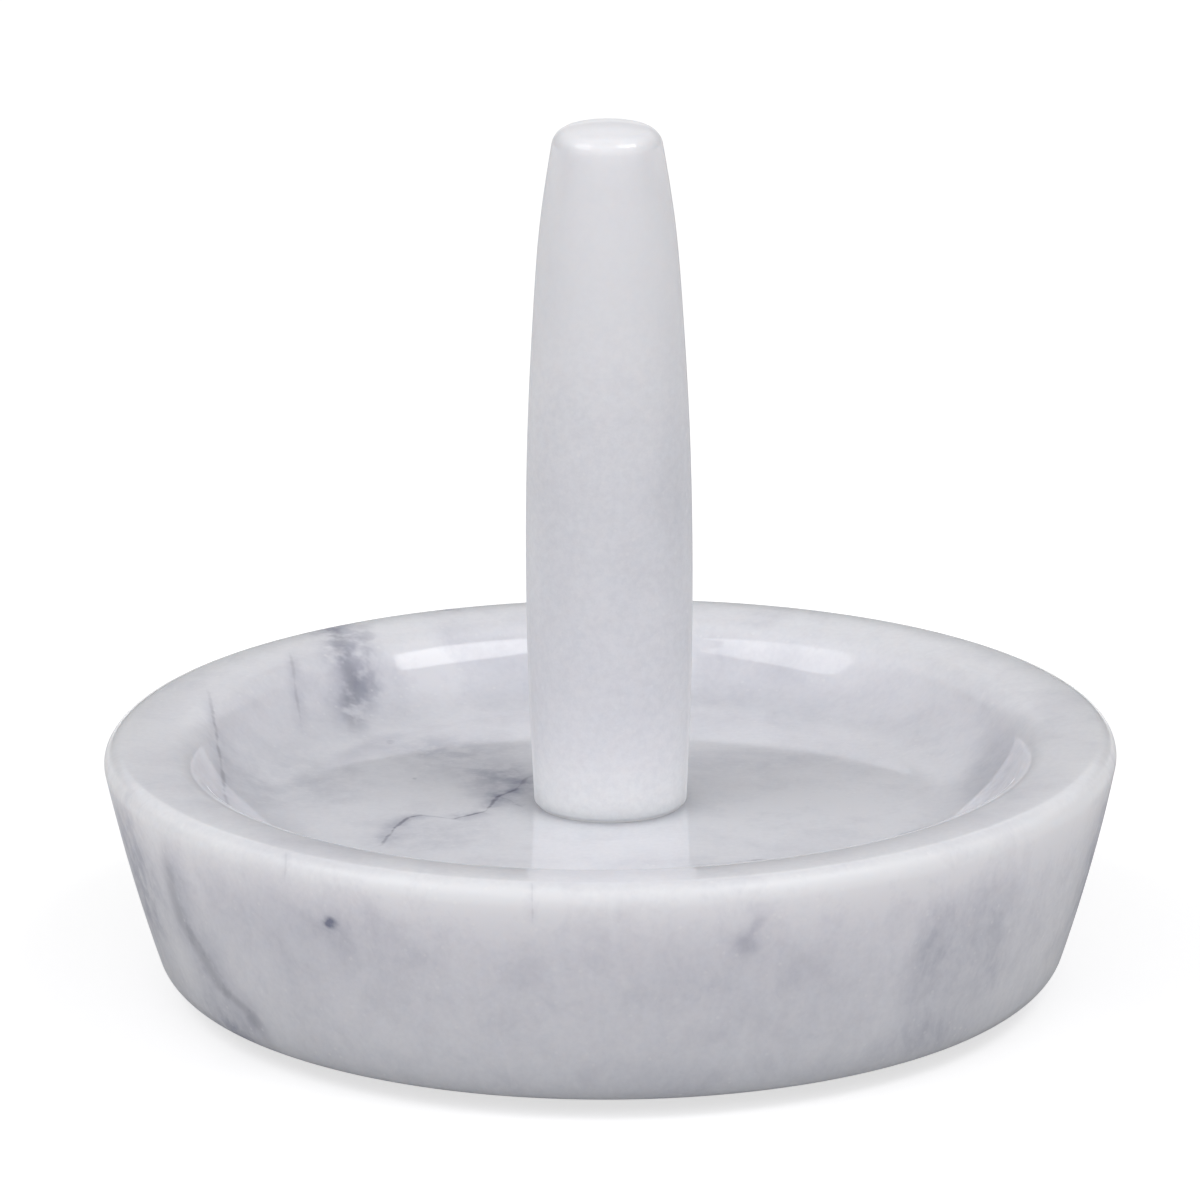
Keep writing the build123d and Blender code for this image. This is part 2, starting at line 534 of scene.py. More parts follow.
def noise(tree, place, size, detail=2.0, roughness=0.5):
    """Cloudy noise whose features are about that many millimetres across, as the sockets Fac and Color."""
    made = add_node(tree, "ShaderNodeTexNoise")
    feed(tree, made.inputs["Vector"], place)
    feed(tree, made.inputs["Scale"], 1 / size)
    feed(tree, made.inputs["Detail"], detail)
    feed(tree, made.inputs["Roughness"], roughness)
    return made.outputs


def cells(tree, place, per_mm):
    """Cells of chance shape, so many to a millimetre, as the sockets Distance and Color."""
    made = add_node(tree, "ShaderNodeTexVoronoi")
    feed(tree, made.inputs["Vector"], place)
    feed(tree, made.inputs["Scale"], per_mm)
    return made.outputs


def blend_colour(tree, factor, first, second):
    """Two colours mixed by a factor."""
    made = add_node(tree, "ShaderNodeMix", data_type="RGBA")
    feed(tree, made.inputs[0], factor)
    for socket, source in ((made.inputs[6], first), (made.inputs[7], second)):
        feed(tree, socket, source if isinstance(source, bpy.types.NodeSocket) else (*source, 1))
    return made.outputs[2]


def axis_parts(tree, place):
    """A place's coordinates, as the sockets X, Y and Z."""
    made = add_node(tree, "ShaderNodeSeparateXYZ")
    feed(tree, made.inputs[0], place)
    return made.outputs


def wander(tree, place, size, reach):
    """The place, pushed about by noise, so that straight features turn natural."""
    push = vector_maths(tree, "SUBTRACT", noise(tree, place, size)["Color"], (0.5, 0.5, 0.5))
    return vector_maths(tree, "ADD", place, scaled(tree, push, reach * 2))


def new_finish(name):
    """A node material with its shader, and the point of the surface in the piece's own space, in
    millimetres."""
    material = bpy.data.materials.new(name)
    material.use_nodes = True
    tree = material.node_tree
    shader = next(node for node in tree.nodes if node.type == "BSDF_PRINCIPLED")
    coordinate = add_node(tree, "ShaderNodeTexCoord")
    return material, tree, shader, scaled(tree, coordinate.outputs["Object"], 1 / MM)


def glow_inside(shader, depth):
    """Light spreads inside the stone to about that depth."""
    shader.inputs["Subsurface Weight"].default_value = 1.0
    shader.inputs["Subsurface Radius"].default_value = GLOW_REACH
    shader.inputs["Subsurface Scale"].default_value = depth
    shader.inputs["IOR"].default_value = STONE_IOR


def relief(tree, shader, height, depth, strength=1.0):
    """A fine relief as deep as said, in metres."""
    bump = add_node(tree, "ShaderNodeBump")
    feed(tree, bump.inputs["Height"], height)
    feed(tree, bump.inputs["Distance"], depth)
    feed(tree, bump.inputs["Strength"], strength)
    feed(tree, shader.inputs["Normal"], bump.outputs["Normal"])


# Marks in the dish's marble, where the photograph shows them, in millimetres. A vein is a thin sheet in
# the stone: its path runs in the plane of two axes, and it shows inside a window with that centre and half
# size. Width is half its core's, haze half its soft border's, and dark and dull are how strongly the two
# show. A gentle one is less shaken, and a steady one stays at least that strong all along. The last four
# veins and the last two clouds are generic, for the sides that aren't seen.
Vein = namedtuple(
    "Vein", "plane width haze dark dull centre half path gentle steady", defaults=(False, 0),
)
VEINS = {
    "floor": Vein(
        "XY", 0.22, 2.2, 0.62, 0.34, (-16, -3, 18.6), (15, 18, 5),
        path=((-24.6, -15.6), (-22.7, -14.3), (-22.2, -12), (-21.5, -8.6), (-20.2, -5.2), (-18.8, -4.4),
              (-15.7, -5.8), (-12.6, -3), (-11.8, 0.2), (-11, 2.3), (-9.4, 4.3), (-8.3, 8.2))),
    "floor branch": Vein(
        "XY", 0.16, 1, 0.14, 0.14, (-10, 0, 18.6), (3.2, 3.5, 4),
        path=((-11.4, 2), (-10.8, 1.2), (-9.9, 0.2), (-9.2, -1.2), (-8.6, -2.4))),
    "rear smudge": Vein(
        "XY", 1, 3.8, 0.26, 0.48, (-27.4, 33, 22.5), (7, 13, 9),
        path=((-30.4, 44), (-29, 39.3), (-28.1, 36), (-27.6, 31.9), (-26.6, 30.4), (-26.8, 27.4),
              (-25.4, 22))),
    "rear smudge side": Vein(
        "XY", 1.5, 2.6, 0.10, 0.28, (-25, 34, 23.5), (4, 9, 6),
        path=((-26.6, 44), (-26, 39.3), (-25.3, 34), (-24.4, 29), (-24, 25))),
    "rear thin": Vein(
        "XY", 0.20, 1.3, 0.16, 0.16, (-32.4, 26, 22.8), (4, 8, 6), gentle=True,
        path=((-33.4, 34), (-33, 31), (-32.5, 27.3), (-32.3, 25.3), (-31.8, 22), (-31.5, 20))),
    "left thin": Vein(
        "XY", 0.24, 1.5, 0.30, 0.20, (-39.6, 5, 21.5), (6, 19, 8), gentle=True,
        path=((-42.2, 26), (-41.7, 23.3), (-40.7, 14.7), (-39.9, 9.4), (-39.3, 5.3), (-38.7, -3),
              (-38.2, -8))),
    "outer left": Vein(
        "XZ", 0.75, 3.4, 0.34, 0.36, (-40, -27, 9), (10, 9, 18), gentle=True, steady=0.80,
        path=((-44.6, 25.4), (-44.1, 22.5), (-43.7, 19.4), (-43.1, 16.3), (-42.2, 13.8), (-40.3, 11.1),
              (-38.5, 7.9), (-35.9, 6.5), (-34.7, 5.1), (-33.2, 2.9), (-32, 1))),
    "front streak": Vein(
        "XY", 0.20, 0.7, 0.34, 0.12, (11.8, -20.9, 18.6), (5, 2.4, 3),
        path=((7.5, -21.7), (9, -21.5), (12, -20.8), (15.1, -19.8), (17, -19.2))),
    "right streak": Vein(
        "XY", 0.18, 0.7, 0.20, 0.12, (30.5, -10.6, 18.6), (3, 3, 3),
        path=((28.6, -12), (29.6, -11.2), (30.6, -10.4), (32, -9.2), (33, -8.2))),
    "short upright": Vein(
        "XZ", 0.14, 0.8, 0.16, 0.12, (-7.6, -50, 24), (1.5, 2, 2.6), gentle=True,
        path=((-7.6, 27), (-7.62, 25.4), (-7.63, 24.2), (-7.64, 22.6), (-7.7, 21))),
    "short upright left": Vein(
        "XZ", 0.14, 0.8, 0.10, 0.10, (-31.5, -39.5, 24.4), (1.5, 2.5, 2), gentle=True,
        path=((-31.5, 27), (-31.53, 25.1), (-31.52, 24.2), (-31.6, 22))),
    "back": Vein(
        "XZ", 0.34, 2.6, 0.45, 0.26, (14, 45, 13), (20, 10, 17),
        path=((2, 27), (5, 21), (9, 17.5), (15, 12), (19, 7), (26, 1))),
    "back branch": Vein(
        "XZ", 0.2, 1.4, 0.3, 0.14, (24, 42, 16), (13, 10, 10),
        path=((12, 13), (18, 15), (23, 19.5), (30, 22), (36, 26))),
    "right side": Vein(
        "YZ", 0.26, 2, 0.34, 0.22, (46, 10, 12), (9, 12, 14),
        path=((-1, 26), (3, 19), (7, 15.5), (11, 9), (19, 2))),
    "underside": Vein(
        "XY", 0.34, 2.4, 0.45, 0.22, (-4, 2, 1), (38, 34, 4),
        path=((-34, -20), (-20, -8), (-9, -5), (2, 6), (14, 10), (30, 27))),
}

# Soft clouds and spots, some of them painted shadow and painted shade: the centre and half size of each,
# how strongly it shows, and how far upright feathers break it up. One with less than none takes away from
# the greys that lie there.
CLOUDS_AND_PAINTED_SHADE = {
    # The next two are painted shadow of the post on the floor; the first is partly grey stone too.
    "grey and painted post shadow, left": ((-10.5, 6, 18.6), (6.5, 9.5, 4), 0.46, 0),
    "painted post shadow behind": ((-15, 14, 18.6), (11, 10, 4), 0.26, 0),
    "left floor": ((-30, 8, 19), (10, 15, 4), 0.20, 0),
    "left cove": ((-36.5, 3.5, 20.3), (5, 10, 4), 0.20, 0.2),
    # Painted shadow of the post on the floor, right of the post.
    "painted post shadow, right": ((17, 14.5, 18.6), (12, 6.5, 4), 0.16, 0),
    "left band": ((-19, 19.5, 18.6), (12, 6.5, 4), 0.20, 0),
    "floor middle": ((-18, -11, 18.6), (10, 8, 4), 0.20, 0),
    "right floor's paler stone": ((19, -5, 18.6), (15, 10, 4), -0.12, 0),
    "rear wall's paler stone": ((-17, 35, 22.5), (9, 6, 4), -0.12, 0),
    "smudge haze": ((-31, 32.5, 22), (4, 8, 5), 0.20, 0),
    "floor dot": ((-19.8, 7.2, 18.6), (0.45, 0.6, 1), 0.5, 0),
    "floor dot behind": ((-23, 21, 18.7), (0.5, 0.8, 1), 0.4, 0),
    "rear rim spot": ((-16.8, 46.3, 25.6), (1.9, 1.1, 1.5), 0.75, 0),
    "smudge rim": ((-28.6, 39.6, 25.6), (5, 4, 2.5), 0.30, 0),
    "outer left band": ((-47, -15, 14), (6, 11, 15), 0.48, 0.2),
    "outer left foot": ((-37.5, -25, 4), (7, 8, 4.5), 0.34, 0.3),
    "outer left end": ((-36.5, -23, 3.4), (3, 6, 3.6), 0.50, 0),
    "front haze": ((8, -49, 15), (9, 4, 4.5), 0.10, 0.3),
    "outer spot": ((-27.3, -41.9, 19.9), (1.1, 1.3, 1), 0.75, 0),
    "outer spot haze": ((-27.2, -41.7, 18.8), (3.4, 2.5, 3.6), 0.14, 0.5),
    "outer left grey": ((-22, -43, 19), (12, 7, 8), 0.16, 0.2),
    "front smudge": ((13.3, -48.1, 19), (1.9, 2, 2), 0.26, 0),
    "front smudge top": ((14.2, -48.2, 21), (1, 2, 1.6), 0.16, 0),
    "outer right": ((31.2, -38, 16), (3.2, 4.5, 9), 0.18, 0.7),
    "outer right wide": ((35, -34, 14), (12, 11, 12), 0.19, 0.3),
    "outer right foot": ((30, -34.5, 5), (8, 6, 4), 0.24, 0.5),
    "outer right streak": ((36.8, -30.5, 11), (2, 3.5, 6.5), 0.14, 0.8),
    # Painted shade: darkens the outer wall at its right silhouette.
    "painted shade at the right silhouette": ((49.5, -7, 12), (7.5, 13, 17), 0.80, 0.1),
    "rear right": ((18.6, 36, 22.4), (3.6, 4, 2.6), 0.10, 0.5),
    "rear right rim": ((17, 43, 25.2), (4, 4, 2.5), 0.16, 0),
    "floor spot": ((24.6, -6.8, 18.6), (2.2, 1.8, 2), 0.14, 0),
    "right cove": ((39.3, 1, 21.3), (5, 10, 4), 0.18, 0.3),
    "back haze": ((-14, 45.5, 12), (10, 7, 11), 0.22, 0.7),
    "back right haze": ((38, 28, 12), (8, 10, 12), 0.16, 0.7),
}


def heading_pair(path, axes):
    """The direction from a path's start to its end, and the one square to it, as places in the stone."""
    run = np.subtract(path[-1], path[0])
    run = run / np.hypot(*run)
    pair = np.zeros((2, 3))
    pair[0, axes] = run
    pair[1, axes] = (-run[1], run[0])
    return pair


def curve_value(tree, source, places, values):
    """A number read off a line of straight runs: at each of the places the line has that value."""
    low, high = min(values), max(values)
    share = add_node(tree, "ShaderNodeMapRange")
    for socket, value in zip(share.inputs, (source, places[0], places[-1], 0, 1)):
        feed(tree, socket, value)
    made = add_node(tree, "ShaderNodeFloatCurve")
    feed(tree, made.inputs["Value"], share.outputs["Result"])
    line = made.mapping.curves[0]
    across = [(place - places[0]) / (places[-1] - places[0]) for place in places]
    up = [(value - low) / (high - low) for value in values]
    line.points[0].location = (across[0], up[0])
    line.points[-1].location = (across[-1], up[-1])
    for point in zip(across[1:-1], up[1:-1]):
        line.points.new(*point)
    for point in line.points:
        point.handle_type = "VECTOR"
    made.mapping.update()
    back = add_node(tree, "ShaderNodeMapRange", clamp=False)
    for socket, value in zip(back.inputs, (made.outputs["Value"], 0, 1, low, high)):
        feed(tree, socket, value)
    return back.outputs["Result"]


def window_share(tree, place, centre, half, core=0.5):
    """1 in the core of an ellipsoid, fading to 0 at its edge."""
    offset = vector_maths(tree, "SUBTRACT", place, centre)
    reach = vector_maths(tree, "LENGTH", vector_maths(tree, "DIVIDE", offset, half))
    return fade(tree, reach, 1, core)


def vein_share(tree, place, patches, vein):
    """How strongly a vein shows: a dark core and a soft border on both sides of its sheet, inside its
    window. The patches thicken and thin it, and leave stretches faint, unless it is a steady one."""
    axes = ["XYZ".index(letter) for letter in vein.plane]
    along_axis, across_axis = heading_pair(vein.path, axes)
    points = np.zeros((len(vein.path), 3))
    points[:, axes] = vein.path
    along = vector_maths(tree, "DOT_PRODUCT", place, along_axis)
    across = vector_maths(tree, "DOT_PRODUCT", place, across_axis)
    line = curve_value(tree, along, list(points @ along_axis), list(points @ across_axis))
    gap = maths(tree, "ABSOLUTE", maths(tree, "SUBTRACT", across, line))
    if vein.steady:
        patches = maths(tree, "MAXIMUM", patches, vein.steady)
    width = maths(tree, "MULTIPLY_ADD", patches, 0.9 * vein.width, 0.3 * vein.width)
    core = fade(tree, maths(tree, "DIVIDE", gap, width), 1.25, 0.15, 0, vein.dark)
    border = fade(tree, gap, vein.haze, 0, 0, vein.dull)
    shown = maths(tree, "MULTIPLY", window_share(tree, place, vein.centre, vein.half), patches)
    return maths(tree, "MULTIPLY", shown, core), maths(tree, "MULTIPLY", shown, border)


def added(tree, shares):
    """The sum of many shares, held to 1."""
    total = reduce(partial(maths, tree, "ADD"), shares)
    return maths(tree, "MINIMUM", total, 1)


def crystals(tree, place, size=0.6, share=0.05, strength=0.30):
    """Bright grains: a few of the cells, picked by chance, shine at their middle."""
    grains = cells(tree, place, 1 / size)
    chance = axis_parts(tree, grains["Color"])["X"]
    picked = fade(tree, chance, 1 - share - 0.02, 1 - share + 0.02, 0, strength)
    return maths(tree, "MULTIPLY", picked, fade(tree, grains["Distance"], 0.45, 0.15))


def outer_wall_share(tree, place):
    """1 on the dish's outer wall and underside and 0 in the bowl and on the rim: a cone a little inside the
    wall's face parts it from the bowl, and a level parts it from the rim."""
    parts = axis_parts(tree, place)
    flat = vector_maths(tree, "LENGTH", vector_maths(tree, "MULTIPLY", place, (1, 1, 0)))
    level = maths(tree, "MULTIPLY_ADD", parts["X"], -RIM_LEAN / dish_high.x, parts["Z"])
    cone = maths(tree, "MULTIPLY_ADD", parts["Z"], 0.33, 41.5)
    wall = fade(tree, maths(tree, "SUBTRACT", flat, cone), -0.4, 0.6)
    wall = maths(tree, "MULTIPLY", wall, fade(tree, level, 25.58, 24.9))
    return maths(tree, "MAXIMUM", wall, fade(tree, parts["Z"], 12, 4))


def edge_gloss(tree, level, full=0.45, none=0.82):
    """A gloss that dies away where the surface is seen edge-on, as it does on stone that isn't waxed. Full
    and none are how far it is turned away, from 0 for face-on to 1 for edge-on."""
    facing = add_node(tree, "ShaderNodeLayerWeight")
    facing.inputs["Blend"].default_value = 0.5
    return maths(tree, "MULTIPLY", fade(tree, facing.outputs["Facing"], none, full), level)


def dish_marble(finish):
    """White marble with blue-grey clouds, thin dark veins and sparse bright crystals, polished until it
    mirrors. Its colour also holds the post's painted shadow on the floor, painted shade at the right
    silhouette and towards the bottom, and painted light just under the rim."""
    material, tree, shader, place = new_finish("dish_marble")
    height = axis_parts(tree, place)["Z"]
    gently = wander(tree, place, 9, 0.25)
    shaken = wander(tree, wander(tree, place, 4.5, 0.40), 1.1, 0.15)
    drifting = wander(tree, wander(tree, place, 11, 2.6), 2.8, 0.9)
    upright = vector_maths(tree, "MULTIPLY", drifting, (1, 1, 0.2))
    patches = fade(tree, noise(tree, place, 3.2, 3, 0.6)["Fac"], 0.34, 0.60, 0.16)
    ragged = fade(tree, noise(tree, shaken, 2, 5, 0.62)["Fac"], 0.30, 0.66)
    feathers = fade(tree, noise(tree, upright, 1.5, 5, 0.6)["Fac"], 0.36, 0.68)

    # Broad soft greys, finer ones in them, and faint upright streaks on the outer wall
    outside = outer_wall_share(tree, place)
    broad = fade(tree, noise(tree, drifting, 22, 4, 0.55)["Fac"], 0.44, 0.74, 0, 0.13)
    mild = fade(tree, noise(tree, drifting, 4.5, 5, 0.60)["Fac"], 0.42, 0.80, 0, 0.12)
    fine = fade(tree, noise(tree, place, 0.6)["Fac"], 0.30, 0.75, 0, 0.05)
    streaks = maths(tree, "MULTIPLY", maths(tree, "MULTIPLY", feathers, 0.05), outside)
    # Painted shade: the outer wall and underside are painted darker towards the bottom, where they face
    # down.
    foot = fade(tree, height, 7.5, 2, 0, 0.14)
    # Painted light: the outer wall is painted paler just under the rim, where light comes in over the rim.
    paler = maths(tree, "MULTIPLY", outside, fade(tree, height, 18, 22.5, 0, -0.08))
    clouds = [broad, mild, fine, streaks, foot, paler]
    for centre, half, strength, feathered in CLOUDS_AND_PAINTED_SHADE.values():
        shown = window_share(tree, drifting, centre, half, 0.15)
        texture = mixed(tree, feathered, ragged, feathers)
        broken = maths(tree, "MULTIPLY_ADD", texture, 0.75 * strength, 0.35 * strength)
        clouds.append(maths(tree, "MULTIPLY", shown, broken))
    cores = []
    for vein in VEINS.values():
        core, border = vein_share(tree, gently if vein.gentle else shaken, patches, vein)
        cores.append(core)
        clouds.append(border)
    colour = blend_colour(tree, added(tree, clouds), finish.dish_colour, finish.cloud_colour)
    colour = blend_colour(tree, added(tree, cores), colour, finish.vein_colour)
    colour = blend_colour(tree, crystals(tree, place), colour, CRYSTAL_COLOUR)
    feed(tree, shader.inputs["Base Color"], colour)

    # Smears make the polish uneven, and the outer wall is duller than the bowl
    smear = fade(tree, noise(tree, place, 7, 3)["Fac"], 0.3, 0.7, -0.012, 0.012)
    rougher = maths(tree, "MULTIPLY", outside, finish.wall_polish - finish.dish_polish)
    polish = maths(tree, "ADD", maths(tree, "ADD", rougher, smear), finish.dish_polish)
    feed(tree, shader.inputs["Roughness"], polish)
    bowl_gloss = edge_gloss(tree, GLASS_GLOSS, 0.80, 0.97)
    gloss = mixed(tree, outside, bowl_gloss, edge_gloss(tree, finish.wall_gloss))
    feed(tree, shader.inputs["Specular IOR Level"], gloss)
    glow_inside(shader, finish.glow_depth)
    return material


def post_marble(finish):
    """A whiter, fine-grained marble without veins, honed rather than polished, and mottled lower down with
    small light and dark grains. Its colour also holds painted shade at mid-height and on its right side,
    and painted light at its foot."""
    material, tree, shader, place = new_finish("post_marble")
    height = axis_parts(tree, place)["Z"]
    mottled = fade(tree, height, 76, 58, 0.25, 1)
    drifting = wander(tree, place, 6, 1.5)
    clouds = fade(tree, noise(tree, drifting, 9, 4, 0.6)["Fac"], 0.40, 0.74, 0, 0.08)
    grains = fade(tree, noise(tree, place, 0.8, 4, 0.75)["Fac"], 0.30, 0.72, 0, 0.15)
    # Painted shade: the post's right side is painted greyer, where less light falls on it.
    right = window_share(tree, drifting, (8, -1, 55), (6, 12, 30), 0.2)
    # Painted shade: the post is painted greyer at mid-height, between its brighter crown and foot.
    middle = maths(tree, "MULTIPLY", fade(tree, height, 66, 50), fade(tree, height, 22, 34))
    grey = maths(tree, "MULTIPLY_ADD", grains, mottled, clouds)
    grey = maths(tree, "MULTIPLY_ADD", right, 0.18, grey)
    grey = maths(tree, "MULTIPLY_ADD", middle, 0.12, grey)
    # Painted light: the post is painted paler at its foot, as light thrown up from the bowl's floor.
    pale = blend_colour(tree, fade(tree, height, 27, 19.5), finish.post_colour, PAINTED_FOOT_LIGHT)
    colour = blend_colour(tree, grey, pale, MOTTLE_AND_PAINTED_SHADE_COLOUR)
    bright = maths(tree, "MULTIPLY", crystals(tree, place), mottled)
    colour = blend_colour(tree, bright, colour, CRYSTAL_COLOUR)
    feed(tree, shader.inputs["Base Color"], colour)

    # The crown is polished finer than the side
    crown = fade(tree, height, 80, 86)
    uneven = fade(tree, noise(tree, place, 1.1, 4)["Fac"], 0.3, 0.7, -0.02, 0.02)
    polish = maths(tree, "MULTIPLY_ADD", crown, -0.12, finish.post_polish)
    feed(tree, shader.inputs["Roughness"], maths(tree, "ADD", uneven, polish))
    gloss = edge_gloss(tree, mixed(tree, crown, finish.post_gloss, GLASS_GLOSS))
    feed(tree, shader.inputs["Specular IOR Level"], gloss)
    glow_inside(shader, finish.post_glow)
    return material


def pin_steel(finish):
    """Turned steel, with fine rings from the lathe and patchy roughness."""
    material, tree, shader, place = new_finish("pin_steel")
    rings = add_node(tree, "ShaderNodeTexWave", wave_type="BANDS", bands_direction="Z")
    feed(tree, rings.inputs["Vector"], place)
    feed(tree, rings.inputs["Scale"], 3)
    feed(tree, rings.inputs["Distortion"], 0.6)
    tone = fade(tree, rings.outputs["Fac"], 0, 1, 0, 0.25)
    worn = tuple(0.8 * channel for channel in finish.steel_colour)
    feed(tree, shader.inputs["Base Color"], blend_colour(tree, tone, finish.steel_colour, worn))
    feed(tree, shader.inputs["Roughness"], fade(tree, rings.outputs["Fac"], 0, 1, 0.28, 0.42))
    shader.inputs["Metallic"].default_value = 1.0
    relief(tree, shader, rings.outputs["Fac"], 0.01 * MM)
    return material


def cured_adhesive(finish):
    """Cured two-part adhesive: slightly cloudy, with tiny bubbles."""
    material, tree, shader, place = new_finish("cured_adhesive")
    haze = noise(tree, place, 2.5, 4)["Fac"]
    tone = fade(tree, haze, 0.35, 0.7, 0, 0.35)
    dull = tuple(0.82 * channel for channel in finish.adhesive_colour)
    feed(tree, shader.inputs["Base Color"], blend_colour(tree, tone, finish.adhesive_colour, dull))
    feed(tree, shader.inputs["Roughness"], fade(tree, haze, 0.3, 0.7, 0.35, 0.5))
    bubbles = fade(tree, cells(tree, place, 1.6)["Distance"], 0, 0.3)
    relief(tree, shader, bubbles, 0.05 * MM)
    return material


def pad_rubber(finish):
    """Matt rubber with a fine pebbled skin and a little dust."""
    material, tree, shader, place = new_finish("pad_rubber")
    dust = noise(tree, place, 3, 5, 0.6)["Fac"]
    tone = fade(tree, dust, 0.45, 0.8, 0, 0.4)
    dusty = tuple(channel + 0.09 for channel in finish.rubber_colour)
    feed(tree, shader.inputs["Base Color"], blend_colour(tree, tone, finish.rubber_colour, dusty))
    feed(tree, shader.inputs["Roughness"], fade(tree, dust, 0.3, 0.7, 0.62, 0.8))
    relief(tree, shader, cells(tree, place, 3.5)["Distance"], 0.04 * MM, 0.6)
    return material


def give_finish(thing, material):
    """The piece has this one material."""
    thing.data.materials.clear()
    thing.data.materials.append(material)


# Stage


def studio_floor(studio):
    """A pale floor. It takes the object's shadow, and the camera and reflections see it white."""
    reach = 4.0
    corners = np.array([(-reach, -reach, 0), (reach, -reach, 0), (reach, reach, 0), (-reach, reach, 0)])
    mesh = bpy.data.meshes.new("floor")
    mesh.from_pydata(corners, [], [(0, 1, 2, 3)])
    floor = bpy.data.objects.new("floor", mesh)
    bpy.context.scene.collection.objects.link(floor)
    material = bpy.data.materials.new("floor_paint")
    material.use_nodes = True
    tree = material.node_tree
    tree.nodes.clear()
    matt = add_node(tree, "ShaderNodeBsdfDiffuse")
    feed(tree, matt.inputs["Color"], (*studio.floor_colour, 1))
    path = add_node(tree, "ShaderNodeLightPath")
    seen = maths(tree, "ADD", path.outputs["Is Camera Ray"], path.outputs["Is Glossy Ray"])
    seen = maths(tree, "ADD", seen, path.outputs["Is Transmission Ray"], clamp=True)
    glow = add_node(tree, "ShaderNodeEmission")
    feed(tree, glow.inputs["Strength"], maths(tree, "MULTIPLY", seen, studio.floor_glow))
    both = add_node(tree, "ShaderNodeAddShader")
    feed(tree, both.inputs[0], matt.outputs[0])
    feed(tree, both.inputs[1], glow.outputs[0])
    output = add_node(tree, "ShaderNodeOutputMaterial")
    feed(tree, output.inputs["Surface"], both.outputs[0])
    give_finish(floor, material)


# How bright the room is by height over the horizon in degrees, behind the dish, beside it and in front
ROOM = {
    "back": ((-90, 0.20), (5, 0.20), (8, 0.25), (17, 0.25), (22, 0.80), (31, 0.80), (36, 0.42), (45, 0.42),
             (50, 0.10), (60, 0.20), (66, 0.48), (90, 0.48)),
    "side": ((-90, 0.15), (5, 0.15), (8, 0.20), (26, 0.20), (36, 0.80), (60, 0.77), (90, 0.48)),
    "front": ((-90, 0.30), (5, 0.60), (8, 1.08), (27, 1.08), (34, 1.42), (57, 1.42), (66, 0.48),
              (90, 0.48)),
}


def room(studio):
    """The world: a pale wall on the camera's side, and a room less bright beside the dish and behind it."""
    world = bpy.data.worlds.new("room")
    bpy.context.scene.world = world
    world.use_nodes = True
    tree = world.node_tree
    tree.nodes.clear()
    coordinate = add_node(tree, "ShaderNodeTexCoord")
    parts = axis_parts(tree, coordinate.outputs["Generated"])
    height = maths(tree, "DEGREES", maths(tree, "ARCSINE", parts["Z"]))
    turn = maths(tree, "ARCTAN2", parts["X"], parts["Y"])
    from_behind = maths(tree, "DEGREES", maths(tree, "ABSOLUTE", turn))
    sides = {name: curve_value(tree, height, *zip(*levels)) for name, levels in ROOM.items()}
    # The angles, round from straight behind the dish, over which one wall gives way to the next
    wall = mixed(tree, fade(tree, from_behind, 40, 62), sides["back"], sides["side"])
    wall = mixed(tree, fade(tree, from_behind, 95, 125), wall, sides["front"])
    sky = add_node(tree, "ShaderNodeBackground")
    feed(tree, sky.inputs["Strength"], maths(tree, "MULTIPLY", wall, studio.room_level))
    output = add_node(tree, "ShaderNodeOutputWorld")
    feed(tree, output.inputs["Surface"], sky.outputs[0])


def direction(azimuth, elevation):
    """A unit direction. Azimuth 0 is towards the camera and turns to its right, in degrees."""
    around = math.radians(azimuth)
    up = math.radians(elevation)
    return Vector((math.sin(around) * math.cos(up), -math.cos(around) * math.cos(up), math.sin(up)))


def soft_box(name, azimuth, elevation, distance, width, height, turn, brightness):
    """A rectangular soft box that faces the dish. Its angles are in degrees and its lengths in metres, and
    its face is as bright as said, where 1 is white."""
    lamp = bpy.data.lights.new(name, "AREA")
    lamp.shape = "RECTANGLE"
    lamp.size = width
    lamp.size_y = height
    lamp.energy = brightness * math.pi * width * height
    made = bpy.data.objects.new(name, lamp)
    bpy.context.scene.collection.objects.link(made)
    towards = direction(azimuth, elevation)
    made.rotation_mode = "QUATERNION"
    facing = towards.to_track_quat("Z", "Y")
    made.rotation_quaternion = facing @ Matrix.Rotation(math.radians(turn), 3, "Z").to_quaternion()
    made.location = Vector((0, 0, dish_high.z)) + towards * distance
    made.visible_camera = False


def studio_camera():
    """The photograph's viewpoint: a long lens that looks down at the dish."""
    lens = bpy.data.cameras.new("camera")
    lens.lens = CAMERA_LENS
    lens.sensor_width = 36.0
    lens.clip_start = 0.05
    lens.clip_end = 20.0
    camera = bpy.data.objects.new("camera", lens)
    bpy.context.scene.collection.objects.link(camera)
    back = direction(0, math.degrees(CAMERA_ELEVATION)) * CAMERA_DISTANCE
    camera.location = Vector((CAMERA_SIDE, 0, CAMERA_AIM)) + back
    tilt = Matrix.Rotation(math.pi / 2 - CAMERA_ELEVATION, 3, "X")
    roll = Matrix.Rotation(CAMERA_ROLL, 3, "Z")
    camera.rotation_euler = (tilt @ roll).to_euler()
    bpy.context.scene.camera = camera


class RINGDISH_OT_dish(Operator):
    """Turns the dish and gives it veined, polished marble"""

    bl_idname = "ringdish.dish"
    bl_label = "Dish"

    def execute(self, context):
        sizes = context.scene.ringdish_dish
        floor = dish_high.z - sizes.bowl_depth
        dish = turned_mesh(
            "marble_dish", dish_outline(sizes), sizes.steps_round, sizes.ripple, sizes.rim_lean, floor,
        )
        give_finish(dish, dish_marble(context.scene.ringdish_finish))
        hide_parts("dish")
        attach(dish, BODY)
        return {"FINISHED"}


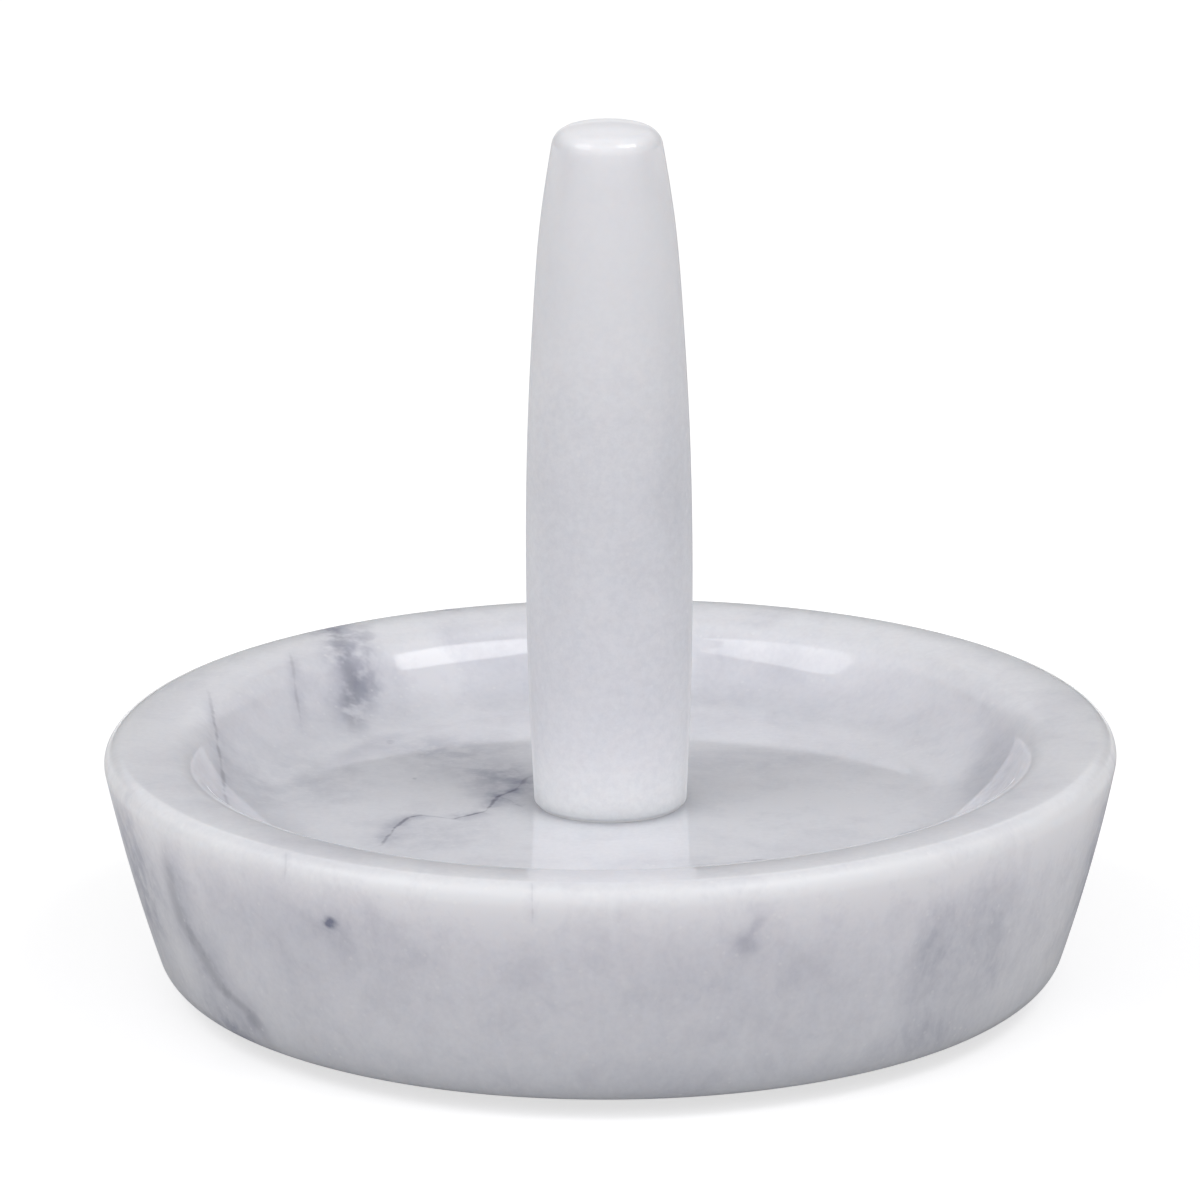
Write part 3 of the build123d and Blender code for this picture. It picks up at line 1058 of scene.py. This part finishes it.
class RINGDISH_OT_post(Operator):
    """Turns the post and gives it fine-grained, honed marble"""

    bl_idname = "ringdish.post"
    bl_label = "Post"

    def execute(self, context):
        sizes = context.scene.ringdish_post
        post = turned_mesh("marble_post", post_outline(sizes), sizes.steps_round)
        give_finish(post, post_marble(context.scene.ringdish_finish))
        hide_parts("post")
        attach(post, BODY)
        return {"FINISHED"}


class RINGDISH_OT_fixings(Operator):
    """Finishes the steel pin and the adhesive inside the stone"""

    bl_idname = "ringdish.fixings"
    bl_label = "Pin and adhesive"

    def execute(self, context):
        finish = context.scene.ringdish_finish
        give_finish(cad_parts["dowel_pin"], pin_steel(finish))
        give_finish(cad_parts["bond_layer"], cured_adhesive(finish))
        return {"FINISHED"}


class RINGDISH_OT_pads(Operator):
    """Finishes the rubber pads under the dish"""

    bl_idname = "ringdish.pads"
    bl_label = "Pads"

    def execute(self, context):
        material = pad_rubber(context.scene.ringdish_finish)
        for name in PAD_NODES:
            give_finish(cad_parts[name], material)
        return {"FINISHED"}


class RINGDISH_OT_stage(Operator):
    """Sets out the floor, the room, the soft boxes and the camera"""

    bl_idname = "ringdish.stage"
    bl_label = "Stage"

    def execute(self, context):
        studio = context.scene.ringdish_studio
        studio_floor(studio)
        room(studio)
        soft_box(
            "soft_box_right", azimuth=59.5, elevation=54.8, distance=1.4,
            width=0.77, height=0.42, turn=-20.4, brightness=studio.right_lamp,
        )
        soft_box(
            "soft_box_left", azimuth=-68.8, elevation=49.3, distance=1.4,
            width=0.64, height=0.764, turn=-76.0, brightness=studio.left_lamp,
        )
        studio_camera()
        context.scene.view_settings.view_transform = "Standard"
        return {"FINISHED"}


STEPS = (RINGDISH_OT_dish, RINGDISH_OT_post, RINGDISH_OT_fixings, RINGDISH_OT_pads, RINGDISH_OT_stage)


class RINGDISH_PT_sidebar(Panel):
    """Lists the steps that make the ring dish"""

    bl_idname = "RINGDISH_PT_sidebar"
    bl_label = "Ring dish"
    bl_space_type = "VIEW_3D"
    bl_region_type = "UI"
    bl_category = "Ring dish"

    def draw(self, context):
        for step in STEPS:
            self.layout.operator(step.bl_idname)


GROUPS = {
    "ringdish_dish": DishSizes,
    "ringdish_post": PostSizes,
    "ringdish_finish": StoneFinish,
    "ringdish_studio": StudioSettings,
}


def register():
    """Registers the classes and gives each scene its settings."""
    for group in (*GROUPS.values(), *STEPS, RINGDISH_PT_sidebar):
        bpy.utils.register_class(group)
    for name, group in GROUPS.items():
        setattr(bpy.types.Scene, name, PointerProperty(type=group))


def unregister():
    """Takes away what register gave."""
    for name in GROUPS:
        delattr(bpy.types.Scene, name)
    for group in (RINGDISH_PT_sidebar, *reversed(STEPS), *GROUPS.values()):
        bpy.utils.unregister_class(group)


def main():
    """Makes every piece and the stage."""
    register()
    bpy.ops.ringdish.dish()
    bpy.ops.ringdish.post()
    bpy.ops.ringdish.fixings()
    bpy.ops.ringdish.pads()
    bpy.ops.ringdish.stage()


if __name__ == "__main__":
    main()
